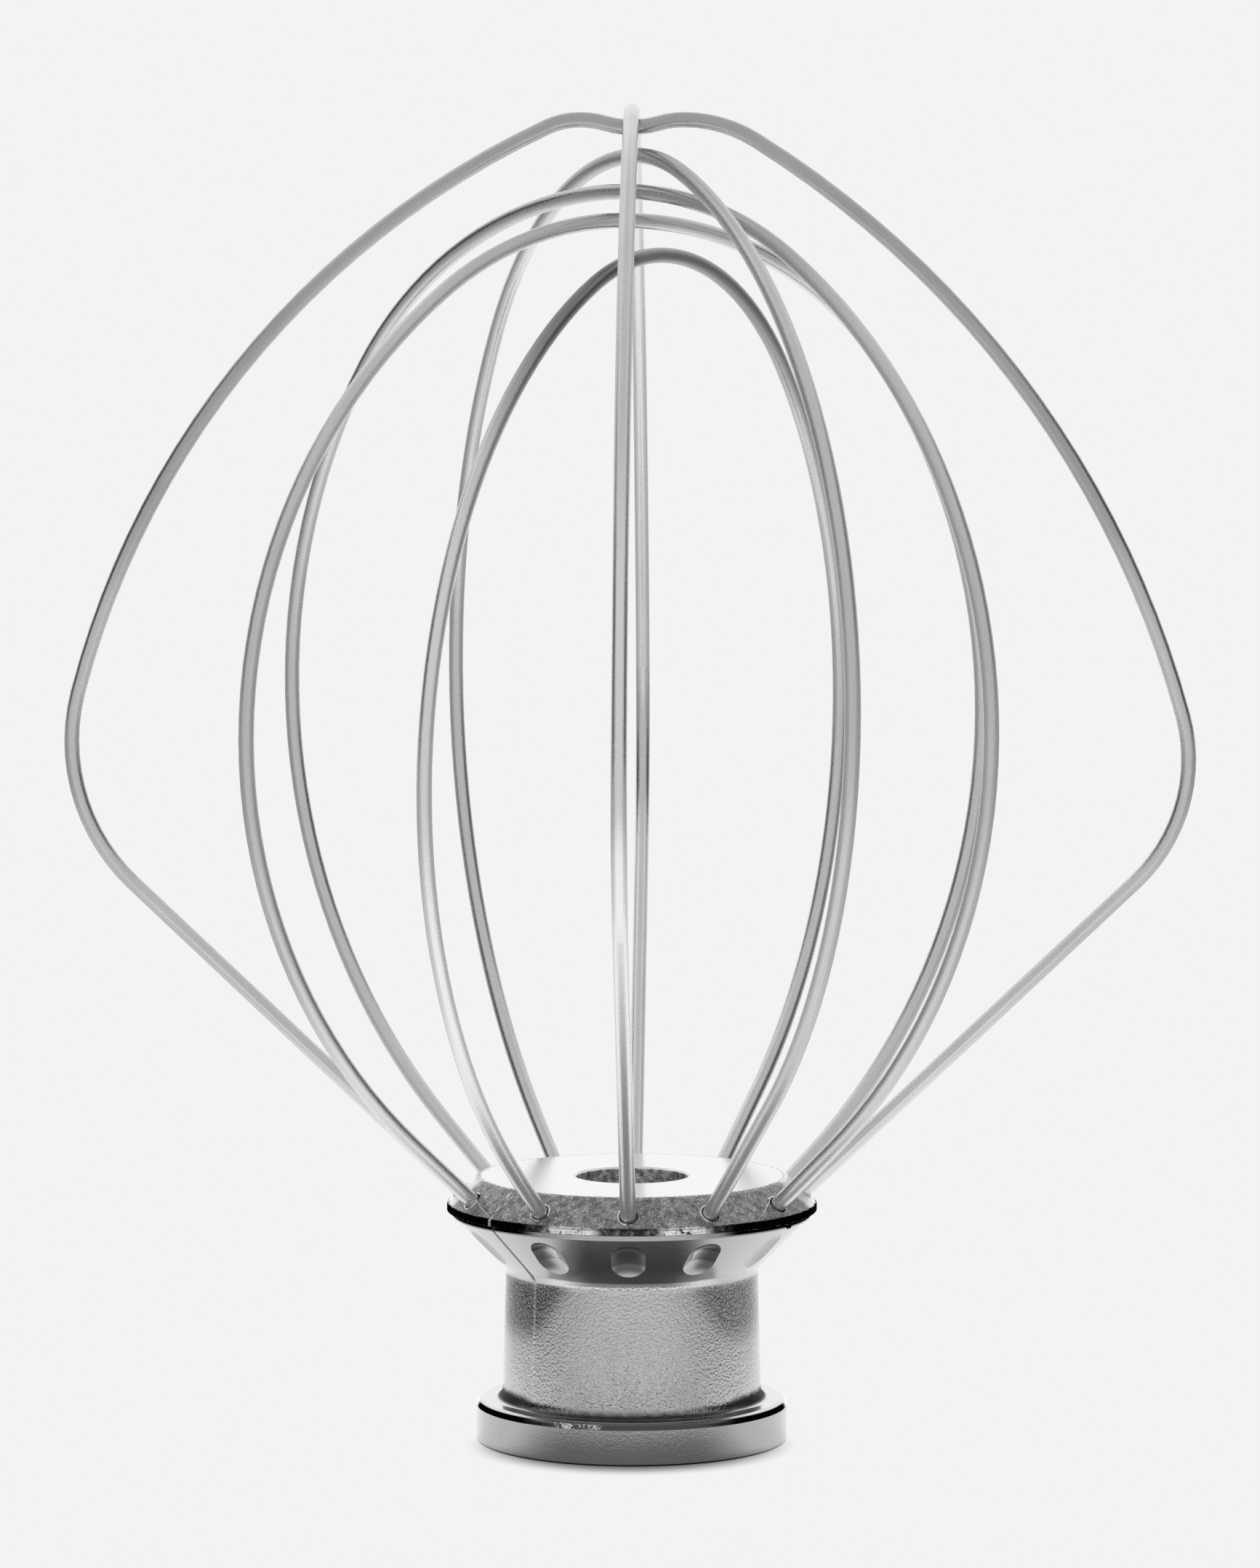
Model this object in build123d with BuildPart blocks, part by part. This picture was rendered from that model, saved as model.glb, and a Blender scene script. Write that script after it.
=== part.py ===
# Wire whisk for a stand mixer: a die-cast hub carries six bent wire loops.
# The hub stands on its flange at z = 0 with its drive bore along Z, and the loops rise from its bevel.
# Each loop lies in one upright plane through the bore's axis, and its two ends sit in opposite sockets.
from build123d import *
from math import radians, sqrt, tan
from typing import NamedTuple
import os

# Drive shaft that the hub slides onto, and the cross pin that locks it, in millimetres and degrees
SHAFT_DIAMETER = 12.7
SHAFT_CLEARANCE = 0.3
BORE_CHAMFER = 0.25
PIN_DIAMETER = 5.0
PIN_TIP_RADIUS = 10.2
PIN_CLEARANCE = 0.4
PIN_SEAT_HEIGHT = 7.5
PIN_LIFT = 1.8
PIN_TURN = 50.0

# Hub outline, from the flange up
FLANGE_LEDGE = 3.0
FLANGE_THICKNESS = 4.9
FLANGE_BASE_ROUND = 0.2
FLANGE_TOP_ROUND = 0.85
NECK_RADIUS = 14.65
NECK_HEIGHT = 15.2
NECK_DRAFT = 1.6
NECK_FOOT_FILLET = 1.1
NECK_TOP_FILLET = 2.0
CONE_ANGLE = 45.0
LIP_HEIGHT = 0.65
RIM_RADIUS = 21.5
RIM_OVERHANG = 0.6
RIM_LAND = 0.7
RIM_ROUND = 0.2
BEVEL_HEIGHT = 3.2
FACE_RADIUS = 18.0
FACE_ROUND = 0.9
SHARP = 0.0

# Wire, the sockets in the bevel that hold its ends, and the stake dimples that pinch them
WIRE_DIAMETER = 1.8
SOCKET_RADIUS = 20.05
SOCKET_DEPTH = 8.0
SOCKET_CLEARANCE = 0.06
SOCKET_MOUTH_DEPTH = 0.7
SOCKET_MOUTH_CLEARANCE = 0.45
FOOT_ANGLE = 43.5
STAKE_WIDTH = 4.1
STAKE_STRETCH = 1.8
STAKE_DEPTH = 0.7
STAKE_SHARE = 0.55

# Crowns, measured on the wire's centre line: the top one stands above the sockets, the next dips under it
CROWN_RISE = 124.9
CROSSING_GAP = 0.05
DIP_REACH = 6.0
DIP_DEPTH = 0.85

# Sizes and heights of the hub that follow from those above
BORE_RADIUS = (SHAFT_DIAMETER + SHAFT_CLEARANCE) / 2
SLOT_WIDTH = PIN_DIAMETER + PIN_CLEARANCE
SLOT_REACH = PIN_TIP_RADIUS + PIN_CLEARANCE / 2
SEAT_FLOOR = PIN_SEAT_HEIGHT - SLOT_WIDTH / 2
CHANNEL_FLOOR = SEAT_FLOOR + PIN_LIFT
SLOT_TOP = CHANNEL_FLOOR + SLOT_WIDTH
NECK_FOOT_RADIUS = NECK_RADIUS + NECK_HEIGHT * tan(radians(NECK_DRAFT))
FLANGE_RADIUS = NECK_FOOT_RADIUS + FLANGE_LEDGE
NECK_TOP = FLANGE_THICKNESS + NECK_HEIGHT
LIP_RADIUS = RIM_RADIUS - RIM_OVERHANG
LIP_BOTTOM = NECK_TOP + (LIP_RADIUS - NECK_RADIUS) * tan(radians(CONE_ANGLE))
RIM_BOTTOM = LIP_BOTTOM + LIP_HEIGHT
RIM_TOP = RIM_BOTTOM + RIM_LAND
HUB_HEIGHT = RIM_TOP + BEVEL_HEIGHT
SOCKET_HEIGHT = RIM_TOP + BEVEL_HEIGHT * (RIM_RADIUS - SOCKET_RADIUS) / (RIM_RADIUS - FACE_RADIUS)

# Points and directions in a loop's own plane, outward from the axis and up
FOOT = Vector(1, 0).rotate(Axis.Z, FOOT_ANGLE)
FOOT_NORMAL = FOOT.rotate(Axis.Z, 90)
MOUTH = Vector(SOCKET_RADIUS, SOCKET_HEIGHT)
SOCKET_FLOOR = MOUTH - FOOT * SOCKET_DEPTH
MOUTH_FLOOR = MOUTH - FOOT * SOCKET_MOUTH_DEPTH
CONE_NORMAL = Vector(1, 0).rotate(Axis.Z, CONE_ANGLE - 90)
STAKE_RADIUS = (STAKE_WIDTH**2 / 4 + STAKE_DEPTH**2) / (2 * STAKE_DEPTH)
STAKE_LENGTH = STAKE_STRETCH + 2 * STAKE_RADIUS
CONE_FOOT = Vector(NECK_RADIUS, NECK_TOP)
CONE_HEAD = Vector(LIP_RADIUS, LIP_BOTTOM)
STAKE_POINT = CONE_FOOT + (CONE_HEAD - CONE_FOOT) * STAKE_SHARE
STAKE_CENTRE = STAKE_POINT + CONE_NORMAL * (STAKE_RADIUS - STAKE_DEPTH)


class WideLeg(NamedTuple):
    """Leg with a straight foot, then arcs for shoulder, slack side and crown, in shares of CROWN_RISE."""

    foot: float
    shoulder: float
    side: float
    crown: float

    def joints(self, apex):
        """Ends of the foot and the arcs: the side holds the shoulder's and the crown's circles inside it."""
        foot, shoulder, side, crown = (share * CROWN_RISE for share in self)
        knee = MOUTH + FOOT * foot
        shoulder_centre = knee + FOOT_NORMAL * shoulder
        crown_centre = apex - Vector(0, crown)
        to_shoulder = side - shoulder
        to_crown = side - crown
        base = crown_centre - shoulder_centre
        along = (to_shoulder**2 - to_crown**2 + base.length**2) / (2 * base.length)
        across = sqrt(to_shoulder**2 - along**2)
        upward = base.normalized()
        side_centre = shoulder_centre + upward * along + upward.rotate(Axis.Z, 90) * across
        shoulder_end = touch_point(shoulder_centre, shoulder, side_centre)
        side_end = touch_point(crown_centre, crown, side_centre)
        return knee, shoulder_end, side_end, apex


class OvalLeg(NamedTuple):
    """Leg with a straight foot and a crown, in shares of CROWN_RISE, and one long arc between them."""

    foot: float
    crown: float

    def joints(self, apex):
        """Ends of the foot and the arcs: the side's radius is the one that leaves no kink."""
        foot, crown = (share * CROWN_RISE for share in self)
        knee = MOUTH + FOOT * foot
        crown_centre = apex - Vector(0, crown)
        gap = knee - crown_centre
        side_radius = (crown**2 - gap.dot(gap)) / (2 * (gap.dot(FOOT_NORMAL) + crown))
        side_centre = knee + FOOT_NORMAL * side_radius
        return knee, touch_point(crown_centre, crown, side_centre), apex


class Loop(NamedTuple):
    """First leg's azimuth, the crown's drop below the top one and its place off the axis, and both legs."""

    azimuth: float
    drop: float
    offset: float
    legs: tuple
    dipped: bool = False

    def joints(self, side, leg):
        """Points along one leg, from its socket's floor to the crown's middle, in the leg's own plane."""
        apex = Vector(side * self.offset, SOCKET_HEIGHT + CROWN_RISE - self.drop)
        if self.dipped:
            hump = apex + Vector(DIP_REACH, DIP_DEPTH)
            return SOCKET_FLOOR, *leg.joints(hump), (hump + apex) / 2, apex
        return SOCKET_FLOOR, *leg.joints(apex)


def touch_point(centre, radius, outer_centre):
    """Point where a circle touches a larger one that holds it inside."""
    return centre + (centre - outer_centre).normalized() * radius


def leg_plane(azimuth):
    """Upright plane through the bore's axis, with X outward along the azimuth and Y up."""
    outward = Vector(1, 0).rotate(Axis.Z, azimuth)
    return Plane((0, 0, 0), x_dir=outward, z_dir=outward.rotate(Axis.Z, -90))


def foot_plane(plane, floor):
    """Plane across a wire's foot at a floor of its socket."""
    return Plane(plane.from_local_coords(floor), z_dir=plane.from_local_coords(FOOT))


def stake_plane(plane):
    """Plane at the centre of a stake's round tip, with X out of the cone and Y up its slope."""
    to_world = plane.from_local_coords
    return Plane(to_world(STAKE_CENTRE), x_dir=to_world(CONE_NORMAL), z_dir=plane.z_dir)


# The loops are bent by hand, so no two are quite alike
LOOPS = {
    "wide_loop_1": Loop(
        azimuth=90.0,
        drop=0.0,
        offset=0.0,
        legs=(WideLeg(foot=0.4185, shoulder=0.168, side=0.855, crown=0.112),) * 2,
    ),
    "wide_loop_2": Loop(
        azimuth=0.0,
        drop=WIRE_DIAMETER + CROSSING_GAP,
        offset=0.0,
        legs=(
            WideLeg(foot=0.421, shoulder=0.156, side=0.907, crown=0.124),
            WideLeg(foot=0.417, shoulder=0.181, side=0.8, crown=0.072),
        ),
        dipped=True,
    ),
    "oval_loop_1": Loop(
        azimuth=-62.5,
        drop=5.1,
        offset=1.1,
        legs=(OvalLeg(foot=0.1595, crown=0.273), OvalLeg(foot=0.0595, crown=0.36)),
    ),
    "oval_loop_2": Loop(
        azimuth=-32.5,
        drop=9.2,
        offset=-1.0,
        legs=(OvalLeg(foot=0.083, crown=0.301), OvalLeg(foot=0.0765, crown=0.35)),
    ),
    "oval_loop_3": Loop(
        azimuth=25.0,
        drop=12.5,
        offset=-0.8,
        legs=(OvalLeg(foot=0.035, crown=0.325), OvalLeg(foot=0.08, crown=0.285)),
    ),
    "oval_loop_4": Loop(
        azimuth=60.0,
        drop=16.5,
        offset=6.5,
        legs=(OvalLeg(foot=0.0985, crown=0.292), OvalLeg(foot=0.0525, crown=0.28)),
    ),
}
# Turn from the loop's azimuth to each leg, and the way each leg counts the crown's offset
LEG_SIDES = ((0.0, 1), (180.0, -1))

# Hub: turned outline, drive bore, bayonet slot, sockets and stake dimples
with BuildPart() as hub:
    with BuildSketch(Plane.XZ):
        with BuildLine():
            FilletPolyline(
                (0, 0),
                (FLANGE_RADIUS, 0),
                (FLANGE_RADIUS, FLANGE_THICKNESS),
                (NECK_FOOT_RADIUS, FLANGE_THICKNESS),
                CONE_FOOT,
                CONE_HEAD,
                (LIP_RADIUS, RIM_BOTTOM),
                (RIM_RADIUS, RIM_BOTTOM),
                (RIM_RADIUS, RIM_TOP),
                (FACE_RADIUS, HUB_HEIGHT),
                (0, HUB_HEIGHT),
                radius=(
                    FLANGE_BASE_ROUND,
                    FLANGE_TOP_ROUND,
                    NECK_FOOT_FILLET,
                    NECK_TOP_FILLET,
                    SHARP,
                    SHARP,
                    SHARP,
                    RIM_ROUND,
                    FACE_ROUND,
                ),
            )
            Line((0, HUB_HEIGHT), (0, 0))
        make_face()
    revolve(axis=Axis.Z)
    with BuildSketch(Plane.XY):
        Circle(BORE_RADIUS)
    extrude(amount=HUB_HEIGHT, mode=Mode.SUBTRACT)
    chamfer(hub.faces().sort_by(Axis.Z)[-1].inner_wires()[0].edges(), BORE_CHAMFER)
    # The pin goes in along the entry, turns along the channel and drops back into its seat
    for turn, floor in ((0, 0), (PIN_TURN, SEAT_FLOOR)):
        with BuildSketch(Plane.XY.offset(floor)):
            Circle(SLOT_REACH)
            with Locations(Location((0, 0), turn)):
                Rectangle(SLOT_REACH, SLOT_WIDTH, align=(Align.MIN, Align.CENTER), mode=Mode.INTERSECT)
        extrude(amount=SLOT_TOP - floor, mode=Mode.SUBTRACT)
    with BuildSketch(Plane.XZ):
        with Locations((0, CHANNEL_FLOOR)):
            Rectangle(SLOT_REACH, SLOT_WIDTH, align=Align.MIN)
    revolve(axis=Axis.Z, revolution_arc=PIN_TURN, mode=Mode.SUBTRACT)
    # Each wire end has a socket in the bevel, wider at its mouth, and a stake dimple under it on the cone
    for loop in LOOPS.values():
        for turn, _ in LEG_SIDES:
            plane = leg_plane(loop.azimuth + turn)
            for floor, clearance in ((SOCKET_FLOOR, SOCKET_CLEARANCE), (MOUTH_FLOOR, SOCKET_MOUTH_CLEARANCE)):
                with BuildSketch(foot_plane(plane, floor)):
                    Circle((WIRE_DIAMETER + clearance) / 2)
                extrude(amount=SOCKET_DEPTH + WIRE_DIAMETER, mode=Mode.SUBTRACT)
            tip = stake_plane(plane)
            with BuildSketch(tip):
                SlotCenterToCenter(STAKE_STRETCH, 2 * STAKE_RADIUS, rotation=90)
                Rectangle(STAKE_RADIUS, STAKE_LENGTH, align=(Align.MIN, Align.CENTER), mode=Mode.INTERSECT)
            revolve(axis=Axis(tip.origin, tip.y_dir), mode=Mode.SUBTRACT)
hub.part.label = "hub"

os.makedirs("parts", exist_ok=True)
export_step(hub.part, "parts/hub.step")

# Loops: each wire is one sweep from the floor of one socket, over the crown, to the floor of the other
for name, loop in LOOPS.items():
    with BuildPart() as wire:
        with BuildLine():
            for (turn, side), leg in zip(LEG_SIDES, loop.legs):
                to_world = leg_plane(loop.azimuth + turn).from_local_coords
                floor, knee, *arc_ends = (to_world(point) for point in loop.joints(side, leg))
                edge = Line(floor, knee)
                for arc_end in arc_ends:
                    edge = TangentArc(edge @ 1, arc_end, tangent=edge % 1)
        with BuildSketch(foot_plane(leg_plane(loop.azimuth), SOCKET_FLOOR)):
            Circle(WIRE_DIAMETER / 2)
        sweep()
    wire.part.label = name
    export_step(wire.part, f"parts/{name}.step")
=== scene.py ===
# Looks of the wire whisk: cast hub, drawn wire loops and pale studio, in metres and in the CAD model's frame
from math import cos, radians, sin, tau
from types import SimpleNamespace

import bmesh
import bpy
from mathutils import Matrix, Vector, noise


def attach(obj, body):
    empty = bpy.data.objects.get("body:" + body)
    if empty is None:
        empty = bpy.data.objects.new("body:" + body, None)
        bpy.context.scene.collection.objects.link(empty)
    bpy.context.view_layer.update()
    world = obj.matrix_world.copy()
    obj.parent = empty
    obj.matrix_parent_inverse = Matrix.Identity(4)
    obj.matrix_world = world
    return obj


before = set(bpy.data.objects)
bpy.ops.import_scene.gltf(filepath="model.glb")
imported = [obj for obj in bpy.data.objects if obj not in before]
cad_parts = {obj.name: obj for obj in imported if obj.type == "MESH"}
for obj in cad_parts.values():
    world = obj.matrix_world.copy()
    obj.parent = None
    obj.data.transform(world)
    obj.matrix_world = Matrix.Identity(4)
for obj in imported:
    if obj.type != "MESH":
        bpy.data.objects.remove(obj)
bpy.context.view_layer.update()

# Camera, from the photograph's own frame in pixels
IMAGE_HEIGHT = 2156
FOCAL_PIXELS = 8950
SENSOR = 36.0
CAMERA_DISTANCE = 0.750
CAMERA_HEIGHT = 0.140
CAMERA_AZIMUTH = radians(1.25)
CAMERA_PITCH = radians(4.84)
CAMERA_SIDESTEP = -0.00022

# Studio: brightness of the pale ground, and of what the metal mirrors on each side
PALE = 0.896
BACK_GLOW = 1.08
LEFT_GLOW = 0.92
RIGHT_GLOW = 0.78
FRONT_GLOW = 0.62
SIDE_GLOW = 0.06
TOP_GLOW = 0.62
FLOOR_FRONT_GLOW = 1.0
FLOOR_BACK_GLOW = 1.15
FLOOR_SIDE_GLOW = 0.64
FLOOR_FAR_GLOW = 0.36
SHADE_GLOW = 0.22
FLOOR_PAINT = 0.5
FLOOR_REACH = 60.0
# Keeps a direction finite on the axis
AXIS_GUARD = 0.001

# Where the studio's walls change: a direction's share to the right, the back or up, at both ends
LEFT_TO_RIGHT = (-0.4, 0.4)
REAR_TO_FRONT = (-0.2, 0.6)
BESIDE_CENTRE = 0.05
BESIDE_ENDS = (0.32, 0.62)
BESIDE_FOOT = (-0.02, 0.06)
BESIDE_HEAD = (0.48, 0.70)
BACK_START = (0.84, 0.95)
BACK_HEAD = (0.7, 0.9)
TOP_START = (0.8, 0.95)

# Where the floor changes: shares to the back or front, and distances from the axis
FLOOR_TURN = (-0.3, 0.4)
FLOOR_FRONT_START = (0.3, 0.85)
FLOOR_SIDE_ENDS = (0.6, 0.9)
FLOOR_SIDE_START = (0.05, 0.12)
FLOOR_BACK_START = (0.55, 0.9)
FLOOR_FAR_START = (0.12, 0.40)
FLOOR_FAR_FRONT_LOSS = 0.45
SHADE_END = (0.030, 0.054)
SHADOW_SHIFT = 0.0045
SHADOW_SPILL = 0.0015

# Hub radii and heights, from the flange up
FLANGE_TOP = 0.0049
FLANGE_RADIUS = 0.01807
FLANGE_ROUND = 0.00085
NECK_TOP = 0.0201
LIP_RADIUS = 0.0209
LIP_BOTTOM = 0.02635
RIM_RADIUS = 0.0215
RIM_BOTTOM = 0.0270
RIM_TOP = 0.0277
FACE_RADIUS = 0.0180
FACE_HEIGHT = 0.0309
BORE_RADIUS = 0.0065

# Where one skin of the casting gives way to the next: both ends of each change
BORE_EDGE = (BORE_RADIUS + 0.00002, BORE_RADIUS + 0.0001)
BEVEL_FOOT = (RIM_TOP - 0.0001, RIM_TOP)
BEVEL_HEAD = (FACE_RADIUS - 0.0005, FACE_RADIUS - 0.0002)
FACE_EDGE = (FACE_HEIGHT - 0.0006, FACE_HEIGHT - 0.0004)
LAND_START = (LIP_RADIUS + 0.0001, LIP_RADIUS + 0.0003)
LAND_HEIGHTS = (RIM_BOTTOM, RIM_TOP + 0.00015, 0.00008)
SMOOTH_START = (NECK_TOP - 0.0005, NECK_TOP + 0.0003)
SMOOTH_END = (RIM_BOTTOM - 0.0001, RIM_BOTTOM)
LIP_START = (LIP_BOTTOM - 0.0001, LIP_BOTTOM)
SOOT_START = (0.0264, 0.0266)
FILLET_HEIGHTS = (NECK_TOP - 0.0003, NECK_TOP + 0.0004, 0.0002)
FILLET_ENDS = (0.0060, 0.0110)
LEDGE_START = (FLANGE_TOP - 0.0003, FLANGE_TOP - 0.0001)
LEDGE_END = (FLANGE_TOP + 0.0001, FLANGE_TOP + 0.0003)
FOOT_END = (FLANGE_TOP + 0.0002, FLANGE_TOP + 0.0011)
FOOT_REACH = (0.0157, 0.0162)
EDGE_START = (FLANGE_TOP - FLANGE_ROUND, FLANGE_TOP - FLANGE_ROUND + 0.0001)
EDGE_END = (FLANGE_TOP - 0.0001, FLANGE_TOP)
HEM_END = (0.0001, 0.0003)
SEAM_START = (FLANGE_TOP + 0.0015, FLANGE_TOP + 0.0060)

# Noises of the cast skin: size of the lumps, detail and roughness, and how far a torn edge strays
PEBBLES = (0.00030, 1.0, 0.5)
GRIT = (0.00020, 2.0, 0.6)
TEARS = (0.0009, 4.0, 0.7)
PATCHES = (0.006, 2.0, 0.5)
NOISE_MIDDLE = 0.5
RAGGED_REACH = 0.0016
RAGGED_LAND = 0.2
RAGGED_FOOT = 0.5

# Wear and painted light on the casting: painted shade on the left and right flanks, chips on the rim's front,
# a bright streak on the flange's edge, the bevel's painted reflection at the rear, painted shade on the neck
# under the cone and the face's painted matte highlight
# Painted shade on the hub's left and right flanks, from this distance to the side: on the rim land, the lip's
# top, the front of the flange's edge and the foot, which also reaches further there
STAIN_START = (0.0100, 0.0125)
STAIN_RISE = 0.0007
STAIN_SPREAD = 0.0004
FOOT_STAIN_START = (0.0105, 0.0140)
FOOT_STAIN = 0.8
STAIN_SOLID = (0.2, 0.8)
CHIP_SPAN = (0.0036, 0.0092, 0.0008)
CHIP_FRONT = (0.0150, 0.0180)
CHIP_TEARS = (0.34, 0.46)
SCUFF_SPAN = (-0.0084, -0.0033, 0.0004)
SCUFF_FRONT = (0.0100, 0.0140)
SCUFF_FLECKS = (0.95, 1.15)
EDGE_FRONT = (0.0005, 0.0050)
BRIGHT_END = (-0.0060, -0.0042)
# Painted shade on the upper left and right of the neck under the cone, darker on the left
DULL_SLOPE = 0.57
DULL_START = (0.0055, 0.0085)
DULL_FOOT = (0.0115, 0.0155)
DULL_TURN = (-0.003, 0.003)
GRIME_SHINE = 0.0
GRIME_GREY = 0.002
# The face's share that is matte white instead of metal, a painted highlight
FACE_MATTE = 0.3

# Greys of the casting: each tone is the grey without masks, then what each of its masks adds
SKIN_TONE = (0.36, 0.06, 0.16, 0.08)
DULL_TONE = (-0.44, -0.20, 1.3, 0.9)
TORN_TONE = (0.16, 0.26, 0.55)
TORN_LIGHT = (0.35, 0.70)
TORN_FLECKS = (0.58, 0.70)
RIM_TONE = (0.03, 0.2, 0.75)
RIM_TEARS = (0.48, 0.70)
BORE_TONE = (0.2, 0.75)
BORE_TEARS = (0.3, 0.65)
# Painted highlight on the fillet under the cone, light at the front and less so to the sides
FILLET_TONE = (0.95, -0.45)
FLANGE_TONE = (0.36, 0.16)
# The ledge is painted lighter on the flanks, a painted reflection
LEDGE_TONE = (0.36, 0.30)
FOOT_TONE = (0.07, 0.05)
# The front of the flange's top edge is painted shade, with a bright streak; its back stays pale
EDGE_TONE = (0.10, 0.8)
SMOOTH_GREY = 0.46
LIP_GREY = 0.42
FACE_GREY = 0.97
EDGE_BACK_GREY = 0.9
# Painted reflection: the bevel's sides and rear are painted light
BEVEL_BACK_GREY = 0.90
# Painted shade along the flange's bottom edge, where it meets the floor
HEM_GREY = 0.03
SEAM_TONE = (0.60, -0.52, 0.15)
SEAM_SHARE = (0.40, 0.60, -0.40, 1.0)
SEAM_BREAKS = (0.45, 0.6)

# Roughness and relief of the casting, with what masks add in the same way
SKIN_ROUGHNESS = (0.14, 0.08)
SMOOTH_ROUGHNESS = 0.16
BEVEL_ROUGHNESS = (0.30, -0.1)
BORE_ROUGHNESS = 0.55
SMOOTH_LOSS = 0.95
FLANGE_LOSS = 0.85
PEBBLE_RELIEF = 0.8
GRIT_RELIEF = (0.10, 0.8, -0.08)
TEAR_RELIEF = 2.0
SEAM_RELIEF = (0.2, 1.0)
SKIN_DEPTH = 0.00009

# Bright cut metal: noise, greys, roughness and depth of its specks
FRESH_SPECKS = (0.0004, 2.0, 0.5)
FRESH_TONE = (0.70, 0.25)
FRESH_ROUGHNESS = (0.28, 0.1)
FRESH_DEPTH = 0.00003

# Drawn wire: lines along it, specks and patches, and the matte share and painted highlight of its front legs,
# both painted light that brightens them
LINE_STRETCH = 0.012
WIRE_LINES = (0.00016, 2.0, 0.6)
WIRE_SPECKS = (0.00030, 3.0, 0.65)
WIRE_PATCHES = (0.008, 2.0, 0.5)
WIRE_TONE = (0.58, 0.16, 0.14, 0.08)
WIRE_ROUGHNESS = (0.22, 0.10)
WIRE_BARENESS = (0.98, -0.35, 0.25)
WIRE_DEPTH = 0.00002
SATIN_START = (0.0, 0.03)
GLEAM_CENTRE = -0.010
GLEAM_ENDS = (0.016, 0.030)
GLEAM_HEIGHTS = (0.038, 0.112, 0.012)
GLEAM_GREY = 0.97

# Each loop's turn about the axis
LOOP_AZIMUTHS = {
    "wide_loop_1": radians(90.0),
    "wide_loop_2": radians(0.0),
    "oval_loop_1": radians(-62.5),
    "oval_loop_2": radians(-32.5),
    "oval_loop_3": radians(25.0),
    "oval_loop_4": radians(60.0),
}
# Painted shade on the loops' crowns: the height where it starts, and how much of the light it takes
DULL_CROWNS = {
    "wide_loop_1": (0.140, 0.10),
    "wide_loop_2": (0.092, 0.32),
    "oval_loop_1": (0.136, 0.62),
    "oval_loop_2": (0.126, 0.25),
    "oval_loop_3": (0.128, 0.20),
    "oval_loop_4": (0.114, 0.62),
}
CROWN_FADE = 0.018

# Parting line of the die: its turn about the axis, and how far to its sides it fades
PARTING_AZIMUTH = radians(42.0)
PARTING_ENDS = (0.00010, 0.00030)

# Ragged burr on the rim
BURR_STEPS = 720
BURR_HEIGHT = 0.00025
BURR_WALL = 0.00012
BURR_LUMP = 0.0011
BURR_FINE_LUMP = BURR_LUMP / 3
BURR_SWAY_LUMP = BURR_LUMP / 2
BURR_LEVEL = 0.35
BURR_FINE_SHARE = 0.5

# Lump of flash under the rim
HOOK_AZIMUTH = radians(-32.6)
HOOK_SIZE = 0.0004
HOOK_STRETCH = 1.3
HOOK_LUMPS = 0.6
HOOK_SUBDIVISIONS = 4

# Curls of metal round the wires' feet, at the sockets in the bevel
SOCKET_RADIUS = 0.02005
SOCKET_HEIGHT = 0.029026
SOCKET_MOUTH_RADIUS = 0.00115
FOOT_ANGLE = radians(43.5)
CURL_RADIUS = 0.00013
CURL_SIDES = 8
CURL_STEPS = 28
CURL_SEED = 1
CURL_LUMP = 0.0006
CURL_WOBBLE = 0.6
CURL_TURN = 2.4
CURL_REACH = 0.55
CURL_REACH_SPREAD = 0.3
CURL_REACH_TURN = 3

# Slivers on the bevel: azimuth in degrees and share of the way down it at both ends
SLIVERS = (((197.9, 0.26), (222.8, 0.94)), ((-32.0, 0.29), (-43.7, 0.80)))
SLIVER_WIDTH = 0.00024
SLIVER_STEPS = 24
SLIVER_THICKNESS = SLIVER_WIDTH * 0.3
# Half the side of the flat grid that a sliver is bent from
GRID_HALF = 0.5


class Shade:
    """A socket of a node tree: arithmetic on it adds Math nodes."""

    def __init__(self, graph, socket):
        self.graph = graph
        self.socket = socket

    def __add__(self, other):
        return self.graph.math("ADD", self, other)

    def __sub__(self, other):
        return self.graph.math("SUBTRACT", self, other)

    def __rsub__(self, other):
        return self.graph.math("SUBTRACT", other, self)

    def __mul__(self, other):
        return self.graph.math("MULTIPLY", self, other)

    def __truediv__(self, other):
        return self.graph.math("DIVIDE", self, other)

    def __abs__(self):
        return self.graph.math("ABSOLUTE", self)

    __radd__ = __add__
    __rmul__ = __mul__

    def root(self):
        return self.graph.math("SQRT", self)

    def step(self, low, high):
        """Smooth step from 0 at low to 1 at high."""
        sockets = {"Value": self, "From Min": low, "From Max": high}
        return self.graph.node("MapRange", {"interpolation_type": "SMOOTHSTEP"}, sockets)

    def band(self, low, high, soft):
        """1 between low and high, 0 outside, with soft edges."""
        return self.step(low - soft, low + soft) * (1 - self.step(high - soft, high + soft))

    def toward(self, other, share):
        """This value where the share is 0, the other where it is 1."""
        return self + (other - self) * share


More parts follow.
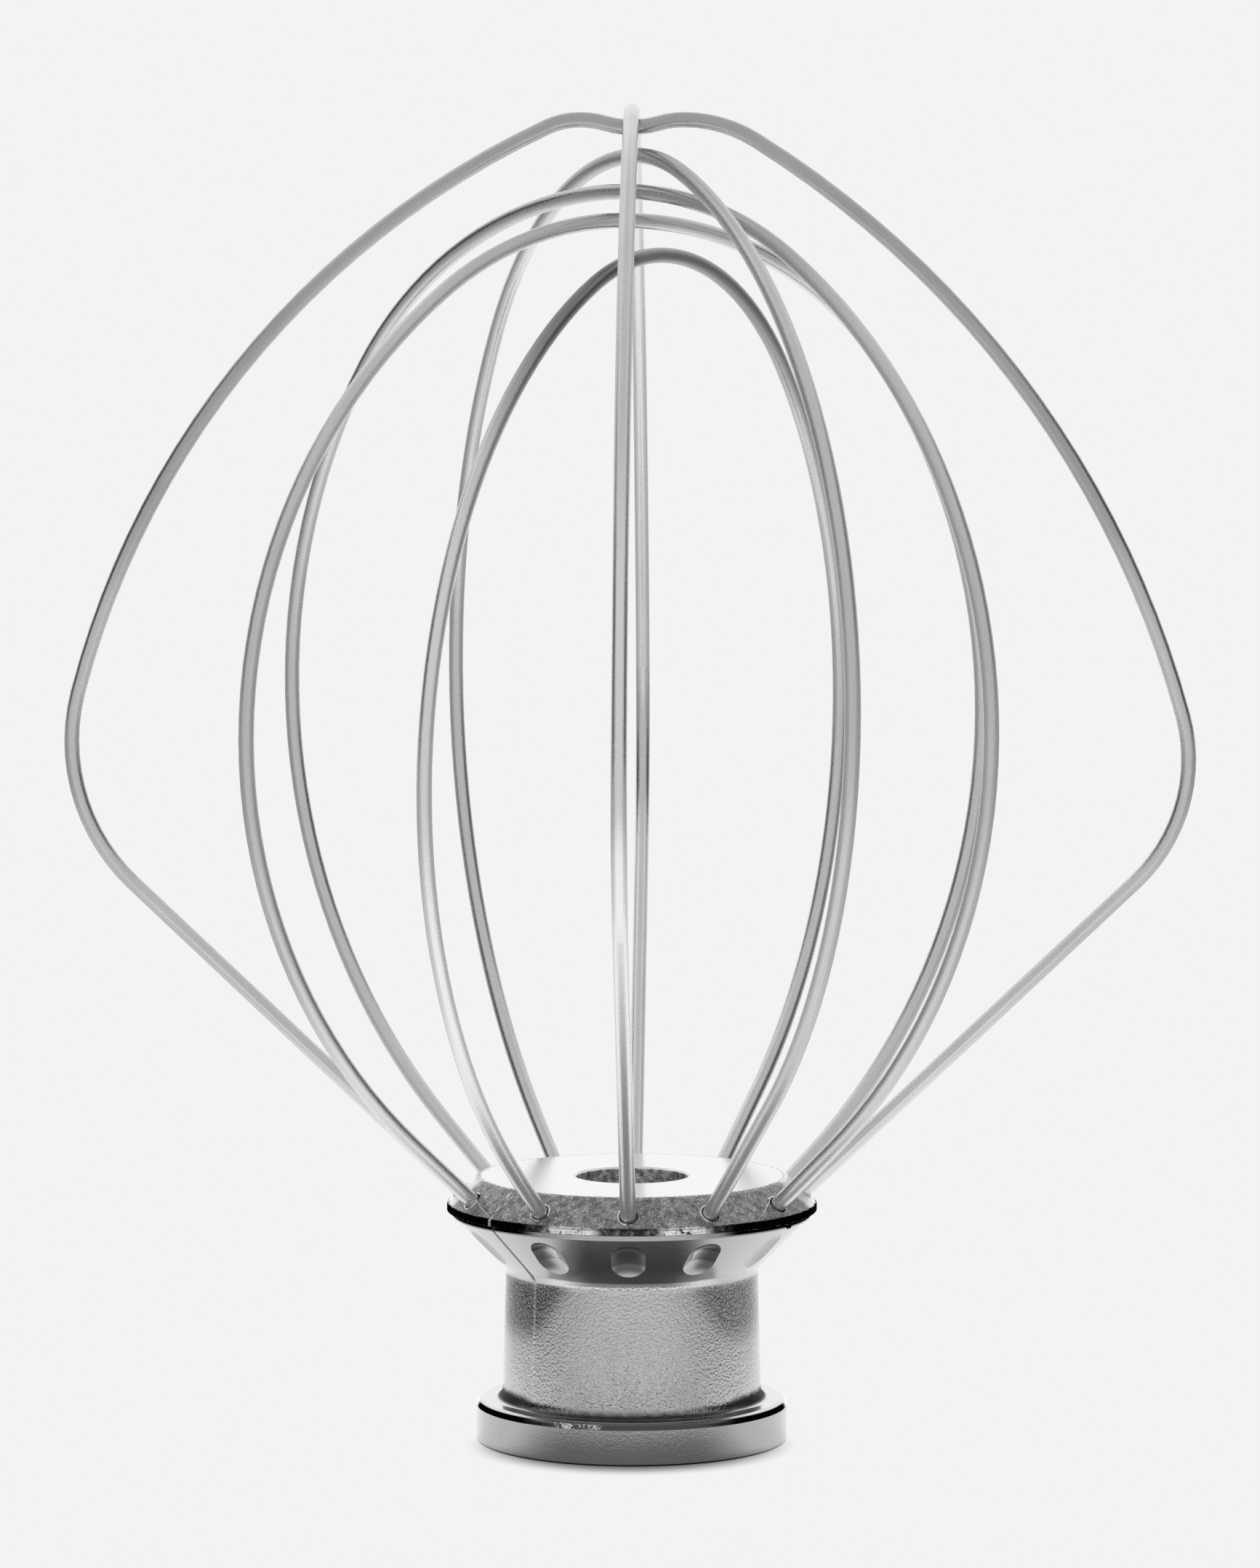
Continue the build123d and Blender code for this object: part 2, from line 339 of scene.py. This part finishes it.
class Graph:
    """The node tree of a material or a world."""

    def __init__(self, owner):
        owner.use_nodes = True
        self.tree = owner.node_tree
        self.tree.nodes.clear()

    def node(self, kind, settings=None, sockets=None, output=0):
        """Adds a node, sets its settings, then its sockets to values or links, and gives one output."""
        made = self.tree.nodes.new("ShaderNode" + kind)
        for name, setting in (settings or {}).items():
            setattr(made, name, setting)
        for name, given in (sockets or {}).items():
            if isinstance(given, Shade):
                self.tree.links.new(given.socket, made.inputs[name])
            else:
                made.inputs[name].default_value = given
        return Shade(self, made.outputs[output]) if made.outputs else None

    def math(self, operation, *values):
        return self.node("Math", {"operation": operation}, dict(enumerate(values)))

    def place(self):
        return self.node("TexCoord", None, None, "Object")

    def split(self, vector):
        return [self.node("SeparateXYZ", None, {"Vector": vector}, axis) for axis in "XYZ"]

    def grey(self, level):
        """A grey colour from a value."""
        return self.node("CombineColor", None, {"Red": level, "Green": level, "Blue": level})

    def noise(self, vector, size, detail, roughness):
        """Noise from 0 to 1 whose lumps are about the given size."""
        sockets = {"Vector": vector, "Scale": 1 / size, "Detail": detail, "Roughness": roughness}
        return self.node("TexNoise", None, sockets)

    def ray(self, kind):
        """1 for rays of a kind: from the camera, mirrored by metal, or through clear things."""
        return self.node("LightPath", None, None, f"Is {kind} Ray")


def tone(values, *masks):
    """The first value, plus each mask times its own value."""
    first, *shares = values
    return sum((mask * share for mask, share in zip(masks, shares)), first)


def metal(graph, colour, roughness, height, depth, bare=1.0):
    """Finishes a material as metal with its bump, bare where that share is 1 and not metal where it is 0."""
    normal = graph.node("Bump", None, {"Distance": depth, "Height": height})
    sockets = {"Base Color": graph.grey(colour), "Metallic": bare, "Roughness": roughness, "Normal": normal}
    sockets["Specular IOR Level"] = GRIME_SHINE
    shader = graph.node("BsdfPrincipled", None, sockets)
    graph.node("OutputMaterial", None, {"Surface": shader})


def cast_grain(graph):
    """Places and noises that the cast skin is made from."""
    place = graph.place()
    grain = SimpleNamespace()
    grain.x, grain.y, grain.z = graph.split(place)
    grain.radius = (grain.x * grain.x + grain.y * grain.y).root()
    grain.away = abs(grain.x)
    grain.front = 0 - grain.y
    grain.pebble = graph.noise(place, *PEBBLES)
    grain.grit = graph.noise(place, *GRIT)
    grain.tear = graph.noise(place, *TEARS)
    grain.patch = graph.noise(place, *PATCHES)
    grain.ragged = (grain.tear - NOISE_MIDDLE) * RAGGED_REACH
    grain.stain = grain.away.step(*STAIN_START)
    return grain


def cast_zones(grain):
    """Zones of the skin, from the bore outward and from the face down, each 1 inside and 0 outside."""
    z, radius, ragged, stain = grain.z, grain.radius, grain.ragged, grain.stain
    zone = SimpleNamespace()
    zone.bore = 1 - radius.step(*BORE_EDGE)
    zone.bevel = z.step(*BEVEL_FOOT) * (radius + ragged).step(*BEVEL_HEAD)
    zone.face = z.step(*FACE_EDGE) * (1 - zone.bevel) * (1 - zone.bore)
    zone.land = (z - ragged * RAGGED_LAND).band(*LAND_HEIGHTS) * radius.step(*LAND_START)
    zone.smooth = z.step(*SMOOTH_START) * (1 - z.step(*SMOOTH_END))
    zone.lip = zone.smooth * z.step(*LIP_START)
    zone.fillet = z.band(*FILLET_HEIGHTS)
    above = z.step(*LEDGE_START) * (1 - zone.bore)
    # The foot reaches higher and further out on the flanks, for the painted shade there
    low = 1 - (z - ragged * RAGGED_FOOT - stain * STAIN_RISE).step(*FOOT_END)
    zone.foot = above * low * (1 - (radius + stain * STAIN_SPREAD).step(*FOOT_REACH))
    zone.ledge = above * (1 - z.step(*LEDGE_END)) * (1 - zone.foot)
    zone.side = (1 - above) * (1 - zone.bore)
    zone.edge = z.step(*EDGE_START) * (1 - z.step(*EDGE_END)) * zone.side
    zone.hem = (1 - z.step(*HEM_END)) * zone.side
    across = grain.x * sin(PARTING_AZIMUTH) - grain.y * cos(PARTING_AZIMUTH)
    zone.seam = (1 - abs(across).step(*PARTING_ENDS)) * (1 - zone.face) * z.step(*SEAM_START)
    return zone


def cast_wear(grain, zone):
    """Wear and painted light on the skin: chips, a bright streak on the flange's edge, painted shade on the
    neck and on the flanks, and the bevel's painted reflection at the sides and rear.
    """
    x, z, away, front, tear = grain.x, grain.z, grain.away, grain.front, grain.tear
    wear = SimpleNamespace()
    wear.chip = away.band(*CHIP_SPAN) * front.step(*CHIP_FRONT) * tear.step(*CHIP_TEARS)
    wear.scuff = x.band(*SCUFF_SPAN) * front.step(*SCUFF_FRONT) * (tear + grain.grit).step(*SCUFF_FLECKS)
    wear.near = front.step(*EDGE_FRONT)
    # Painted reflection: the bevel is painted light at its sides and rear, where its front ends
    wear.behind = (grain.y + grain.ragged).step(*BRIGHT_END)
    # Painted shade: the neck's upper sides are darkened under the cone, more on the left
    patches = (away + (z - NECK_TOP) * DULL_SLOPE).step(*DULL_START) * z.step(*DULL_FOOT)
    wear.dull = patches * tone(DULL_TONE, x.step(*DULL_TURN), grain.grit, grain.pebble)
    # Painted shade on the flanks: the lip's top under the rim, the rim land, the front of the flange's edge
    # and the foot turn dark and not metal
    soot = zone.lip * z.step(*SOOT_START)
    stained = (zone.land + zone.edge * wear.near + soot).step(*STAIN_SOLID) * grain.stain
    wear.grime = stained + zone.foot * away.step(*FOOT_STAIN_START) * FOOT_STAIN
    return wear


def cast_colour(grain, zone, wear):
    """Grey of the skin: the neck's first, then each zone's over it, then painted shade on the flanks and the
    parting line.
    """
    grit, tear = grain.grit, grain.tear
    torn = tone(TORN_TONE, tear.step(*TORN_LIGHT), grit.step(*TORN_FLECKS))
    coats = (
        (SMOOTH_GREY, zone.smooth),
        (LIP_GREY, zone.lip),
        # painted highlight on the fillet under the cone
        (tone(FILLET_TONE, grain.away.step(*FILLET_ENDS)), zone.fillet),
        (FACE_GREY, zone.face),
        (tone(FLANGE_TONE, grit), zone.side),
        # painted reflection: the ledge is lighter on the flanks
        (tone(LEDGE_TONE, grain.stain), zone.ledge),
        (tone(FOOT_TONE, grit), zone.foot),
        # painted shade on the front of the flange's top edge, with a bright streak
        (tone(EDGE_TONE, wear.scuff).toward(EDGE_BACK_GREY, 1 - wear.near), zone.edge),
        # painted shade along the flange's bottom edge
        (HEM_GREY, zone.hem),
        (torn.toward(BEVEL_BACK_GREY, wear.behind), zone.bevel),
        (tone(RIM_TONE, tear.step(*RIM_TEARS), wear.chip), zone.land),
        (tone(BORE_TONE, tear.step(*BORE_TEARS)), zone.bore),
        # painted shade on the flanks, over every zone
        (GRIME_GREY, wear.grime),
    )
    # The neck's painted shade darkens the skin
    colour = tone(SKIN_TONE, grain.pebble, grit, grain.patch) * (1 - wear.dull)
    for grey, share in coats:
        colour = colour.toward(grey, share)
    breaks = zone.bevel * tear.step(*SEAM_BREAKS)
    line = zone.seam * tone(SEAM_SHARE, zone.smooth + zone.land, zone.bevel, breaks)
    return colour.toward(tone(SEAM_TONE, zone.smooth, zone.bevel), line)


def cast_relief(grain, zone):
    """Height of the skin: pebbles and grit, tears on the bevel and rim, and the parting line."""
    pebbles = grain.pebble * (1 - SMOOTH_LOSS * zone.smooth) * (1 - FLANGE_LOSS * zone.side)
    pebbles = pebbles * (1 - zone.face) * (1 - zone.ledge) * PEBBLE_RELIEF
    grit = grain.grit * tone(GRIT_RELIEF, zone.bevel, zone.smooth)
    tears = grain.tear * (zone.bevel + zone.land) * TEAR_RELIEF
    return pebbles + grit + tears + zone.seam * tone(SEAM_RELIEF, zone.smooth)


def casting():
    """Die-cast aluminium: grainy neck and flange, smooth cone, torn bevel and rim, bright face partly matte
    as a painted highlight, and painted shade on the flanks.
    """
    material = bpy.data.materials.new("casting")
    graph = Graph(material)
    grain = cast_grain(graph)
    zone = cast_zones(grain)
    wear = cast_wear(grain, zone)
    roughness = tone(SKIN_ROUGHNESS, grain.pebble).toward(SMOOTH_ROUGHNESS, zone.smooth)
    roughness = roughness.toward(tone(BEVEL_ROUGHNESS, wear.behind), zone.bevel)
    roughness = roughness.toward(BORE_ROUGHNESS, zone.bore)
    # The face is partly matte white, a painted highlight, and the flanks' painted shade is not metal
    bare = 1 - wear.grime - zone.face * FACE_MATTE
    metal(graph, cast_colour(grain, zone, wear), roughness, cast_relief(grain, zone), SKIN_DEPTH, bare)
    return material


def fresh_metal():
    """Bright metal where the casting was cut or pushed aside."""
    material = bpy.data.materials.new("fresh_metal")
    graph = Graph(material)
    speck = graph.noise(graph.place(), *FRESH_SPECKS)
    metal(graph, tone(FRESH_TONE, speck), tone(FRESH_ROUGHNESS, speck), speck, FRESH_DEPTH)
    return material


def drawn_wire(name, azimuth):
    """Drawn steel wire with painted shade at the crown and painted light on the front legs, with faint lines
    that run along it in the loop's plane.
    """
    material = bpy.data.materials.new(name)
    graph = Graph(material)
    place = graph.place()
    turned = graph.node("Mapping", None, {"Vector": place, "Rotation": (0.0, 0.0, -azimuth)})
    along = graph.node("Mapping", None, {"Vector": turned, "Scale": (LINE_STRETCH, 1.0, LINE_STRETCH)})
    line = graph.noise(along, *WIRE_LINES)
    speck = graph.noise(place, *WIRE_SPECKS)
    patch = graph.noise(place, *WIRE_PATCHES)
    x, y, z = graph.split(place)
    crown, loss = DULL_CROWNS[name]
    # Painted light: the loop's front half is partly matte, which brightens it, and a painted highlight lies
    # on its lower front legs
    satin = (0 - y).step(*SATIN_START)
    gleam = satin * (1 - abs(x - GLEAM_CENTRE).step(*GLEAM_ENDS)) * z.band(*GLEAM_HEIGHTS)
    colour = tone(WIRE_TONE, line, speck, patch).toward(GLEAM_GREY, gleam)
    # Painted shade on the crown
    colour = colour * (1 - z.step(crown, crown + CROWN_FADE) * loss)
    bare = tone(WIRE_BARENESS, satin, gleam)
    metal(graph, colour, tone(WIRE_ROUGHNESS, speck), line + speck, WIRE_DEPTH, bare)
    return material


def studio_world():
    """Pale behind and above, dimmer in front, and dark beside the whisk a little over the horizon."""
    world = bpy.data.worlds.new("studio")
    graph = Graph(world)
    x, y, z = graph.split(graph.node("TexCoord", None, None, "Generated"))
    back = y / ((x * x + y * y).root() + AXIS_GUARD)
    rear = x.step(*LEFT_TO_RIGHT) * (RIGHT_GLOW - LEFT_GLOW) + LEFT_GLOW
    beside = 1 - abs(back - BESIDE_CENTRE).step(*BESIDE_ENDS)
    beside = beside * z.step(*BESIDE_FOOT) * (1 - z.step(*BESIDE_HEAD))
    level = rear.toward(FRONT_GLOW, (0 - back).step(*REAR_TO_FRONT)).toward(SIDE_GLOW, beside)
    level = level.toward(BACK_GLOW, back.step(*BACK_START) * (1 - z.step(*BACK_HEAD)))
    level = level.toward(TOP_GLOW, z.step(*TOP_START)).toward(PALE, graph.ray("Camera"))
    graph.node("OutputWorld", None, {"Surface": graph.node("Background", None, {"Color": graph.grey(level)})})
    return world


def floor_material():
    """Pale floor with the hub's contact shadow, mirrored by the metal as a pool of light."""
    material = bpy.data.materials.new("floor")
    graph = Graph(material)
    x, y = graph.split(graph.place())[:2]
    radius = (x * x + y * y).root()
    back = y / (radius + AXIS_GUARD)
    front = (0 - back).step(*FLOOR_FRONT_START)
    sideways = 1 - abs(back).step(*FLOOR_SIDE_ENDS)
    far = (1 - back.step(*FLOOR_BACK_START) - front * FLOOR_FAR_FRONT_LOSS) * radius.step(*FLOOR_FAR_START)
    glow = back.step(*FLOOR_TURN) * (FLOOR_BACK_GLOW - FLOOR_FRONT_GLOW) + FLOOR_FRONT_GLOW
    glow = glow.toward(FLOOR_SIDE_GLOW, sideways * radius.step(*FLOOR_SIDE_START)).toward(FLOOR_FAR_GLOW, far)
    glow = glow.toward(SHADE_GLOW, front * (1 - radius.step(*SHADE_END))).toward(PALE, graph.ray("Camera"))
    ahead = y + SHADOW_SHIFT
    keep = (x * x + ahead * ahead).root().step(FLANGE_RADIUS - SHADOW_SHIFT, FLANGE_RADIUS + SHADOW_SPILL)
    share = (graph.ray("Camera") + graph.ray("Glossy") + graph.ray("Transmission")) * keep
    sheet = graph.node("BsdfDiffuse", None, {"Color": (FLOOR_PAINT, FLOOR_PAINT, FLOOR_PAINT, 1.0)})
    light = graph.node("Emission", None, {"Color": graph.grey(glow)})
    mixed = graph.node("MixShader", None, {0: share, 1: sheet, 2: light})
    graph.node("OutputMaterial", None, {"Surface": mixed})
    return material


def piece(name, mesh_maker, material):
    """An object from a bmesh, at the origin."""
    shape = bmesh.new()
    mesh_maker(shape)
    mesh = bpy.data.meshes.new(name)
    shape.to_mesh(mesh)
    shape.free()
    mesh.materials.append(material)
    made = bpy.data.objects.new(name, mesh)
    bpy.context.scene.collection.objects.link(made)
    return made


def lump(spot, size):
    """Smooth random number from -1 to 1 for a point, with lumps of the given size."""
    return noise.noise(spot / size)


def rim_burr(shape):
    """Thin torn wall that stands on the rim's edge, of uneven height."""
    ring = Matrix.Translation((0, 0, RIM_TOP - BURR_WALL))
    bmesh.ops.create_circle(shape, segments=BURR_STEPS, radius=RIM_RADIUS - BURR_WALL, matrix=ring)
    wall = bmesh.ops.extrude_edge_only(shape, edges=shape.edges[:])
    for vert in wall["geom"]:
        if isinstance(vert, bmesh.types.BMVert):
            outward = Vector((vert.co.x, vert.co.y, 0)).normalized()
            lumps = lump(vert.co, BURR_LUMP) + BURR_FINE_SHARE * lump(vert.co, BURR_FINE_LUMP)
            rise = Vector((0, 0, BURR_WALL + BURR_HEIGHT * max(0, BURR_LEVEL + lumps)))
            vert.co += rise + outward * BURR_WALL * lump(vert.co, BURR_SWAY_LUMP)
    bmesh.ops.recalc_face_normals(shape, faces=shape.faces[:])
    bmesh.ops.solidify(shape, geom=shape.faces[:], thickness=BURR_WALL)


def rim_hook(shape):
    """Lump of flash that hangs from the rim's land."""
    spot = Vector((RIM_RADIUS * cos(HOOK_AZIMUTH), RIM_RADIUS * sin(HOOK_AZIMUTH), RIM_BOTTOM))
    place = Matrix.Translation(spot) @ Matrix.Diagonal((1, 1, HOOK_STRETCH, 1))
    bmesh.ops.create_icosphere(shape, subdivisions=HOOK_SUBDIVISIONS, radius=HOOK_SIZE, matrix=place)
    for vert in shape.verts:
        vert.co += (vert.co - spot) * lump(vert.co, HOOK_SIZE) * HOOK_LUMPS


def socket_curls(shape):
    """Curls of metal that staking pushed up round each wire's foot."""
    socket = Matrix.Translation((SOCKET_RADIUS, 0, SOCKET_HEIGHT))
    lean = Matrix.Rotation(tau / 4 - FOOT_ANGLE, 4, "Y")
    across = Matrix.Rotation(tau / 4, 4, "X")
    for count, (azimuth, turn) in enumerate((a, t) for a in LOOP_AZIMUTHS.values() for t in (0, tau / 2)):
        mouth = Matrix.Rotation(azimuth + turn, 4, "Z") @ socket @ lean
        axis = (mouth.to_3x3() @ Vector((0, 0, 1))).normalized()
        start = Matrix.Rotation(CURL_TURN * count, 4, "Z") @ Matrix.Translation((SOCKET_MOUTH_RADIUS, 0, 0))
        made = bmesh.ops.create_circle(
            shape, segments=CURL_SIDES, radius=CURL_RADIUS, cap_ends=True, matrix=mouth @ start @ across
        )
        disc = list({face for vert in made["verts"] for face in vert.link_faces})
        reach = tau * (CURL_REACH + CURL_REACH_SPREAD * sin(CURL_REACH_TURN * count))
        bmesh.ops.spin(shape, geom=disc, cent=mouth.translation, axis=axis, angle=reach, steps=CURL_STEPS)
    noise.seed_set(CURL_SEED)
    for vert in shape.verts:
        vert.co += Vector(noise.noise_vector(vert.co / CURL_LUMP)) * CURL_RADIUS * CURL_WOBBLE
    bmesh.ops.recalc_face_normals(shape, faces=shape.faces[:])


def bevel_point(azimuth, share):
    """Point on the bevel, a share of the way down from the face to the rim."""
    radius = FACE_RADIUS + (RIM_RADIUS - FACE_RADIUS) * share
    height = FACE_HEIGHT + (RIM_TOP - FACE_HEIGHT) * share
    return Vector((radius * cos(azimuth), radius * sin(azimuth), height))


def slivers(shape):
    """Thin strips of metal that lie along the bevel."""
    for (first, top), (last, bottom) in SLIVERS:
        made = bmesh.ops.create_grid(shape, x_segments=SLIVER_STEPS, y_segments=1, size=GRID_HALF)
        strip = {face for vert in made["verts"] for face in vert.link_faces}
        for vert in made["verts"]:
            along = vert.co.x + GRID_HALF
            taper = 1 - (2 * along - 1) ** 2
            azimuth = radians(first + (last - first) * along) + vert.co.y * taper * SLIVER_WIDTH / RIM_RADIUS
            lift = Vector((cos(azimuth), sin(azimuth), 1)) * SLIVER_THICKNESS
            vert.co = bevel_point(azimuth, top + (bottom - top) * along) + lift
        bmesh.ops.solidify(shape, geom=list(strip), thickness=SLIVER_THICKNESS)
    bmesh.ops.recalc_face_normals(shape, faces=shape.faces[:])


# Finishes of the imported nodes
FINISHES = {name: drawn_wire(name, azimuth) for name, azimuth in LOOP_AZIMUTHS.items()}
FINISHES["hub"] = casting()
for name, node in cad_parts.items():
    for slot in node.material_slots:
        slot.material = FINISHES[name]

# Marks of casting and staking on the hub
bright = fresh_metal()
MARKS = ((rim_burr, FINISHES["hub"]), (rim_hook, FINISHES["hub"]), (socket_curls, bright), (slivers, bright))
for mesh_maker, finish in MARKS:
    mark = piece(mesh_maker.__name__, mesh_maker, finish)
    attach(mark, "root")

# Studio
floor = piece("floor", lambda shape: bmesh.ops.create_grid(shape, size=FLOOR_REACH), floor_material())
bpy.context.scene.world = studio_world()

# Camera
lens = bpy.data.cameras.new("camera")
lens.sensor_width = SENSOR
lens.lens = SENSOR * FOCAL_PIXELS / IMAGE_HEIGHT
lens.clip_end = 2 * FLOOR_REACH
camera = bpy.data.objects.new("camera", lens)
camera.rotation_euler = (tau / 4 - CAMERA_PITCH, 0, CAMERA_AZIMUTH)
turn = camera.rotation_euler.to_matrix()
right = turn @ Vector((1, 0, 0))
level_back = Vector((turn[0][2], turn[1][2], 0)).normalized()
camera.location = level_back * CAMERA_DISTANCE + right * CAMERA_SIDESTEP + Vector((0, 0, CAMERA_HEIGHT))
bpy.context.scene.collection.objects.link(camera)
bpy.context.scene.camera = camera
bpy.context.scene.view_settings.view_transform = "Standard"
